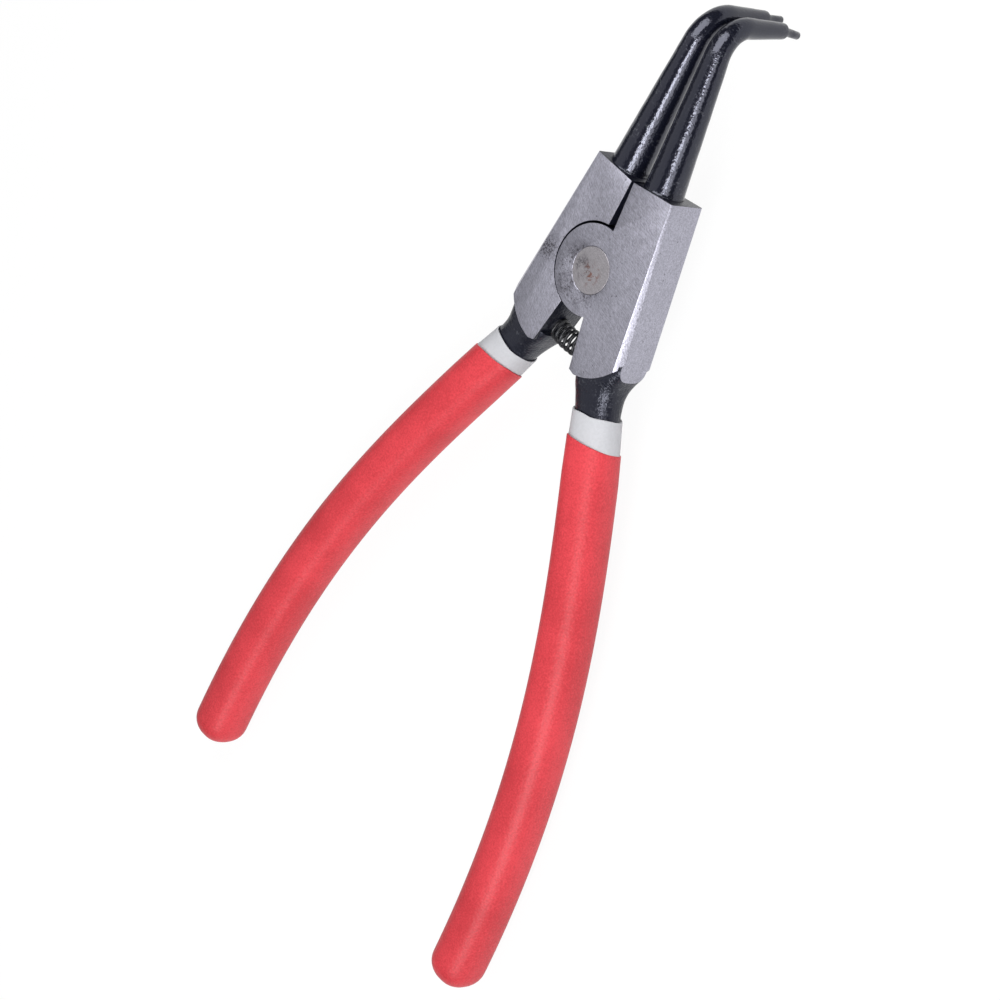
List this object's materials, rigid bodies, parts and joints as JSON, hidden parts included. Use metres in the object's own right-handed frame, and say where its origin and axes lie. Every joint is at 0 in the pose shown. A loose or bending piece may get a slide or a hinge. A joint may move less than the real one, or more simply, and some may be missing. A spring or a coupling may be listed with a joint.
{
  "type": "bent nose external circlip pliers",
  "caption": "Circlip pliers for outside rings: riveted lap joint, noses bent square with stepped tips, coil return spring, dipped handles.",
  "frame": {"origin": "on the pivot axis, in the ground front face of the joint", "axes": "+Y towards the noses, +Z along the pivot axis out of the front face, +X towards the lever whose lobe is at the front"},
  "size_m": [0.0828, 0.1732, 0.0234],
  "materials": {
    "ground_steel": "ground on the joint block, black oxide on noses and necks",
    "rivet_steel": "ground flush, lightly stained",
    "black_spring_steel": "blackened music wire",
    "white_dip": "smooth first dip",
    "red_dip": "soft second dip with a fine orange-peel skin"
  },
  "bodies": {
    "left_side": {"left_lever": "ground_steel", "pivot_rivet": "rivet_steel", "left_undercoat": "white_dip", "left_grip": "red_dip", "return_spring": "black_spring_steel"},
    "right_side": {"right_lever": "ground_steel", "right_undercoat": "white_dip", "right_grip": "red_dip"}
  },
  "joints": [
    {"name": "lever_pivot", "type": "hinge", "parent": "left_side", "child": "right_side", "pos_m": [0, 0, -0.0041], "axis": [0, 0, -1], "range_deg": [0, 20], "stiffness_Nm_per_rad": 0.36, "springref_deg": -8.59, "deforming": ["return_spring"]}
  ]
}
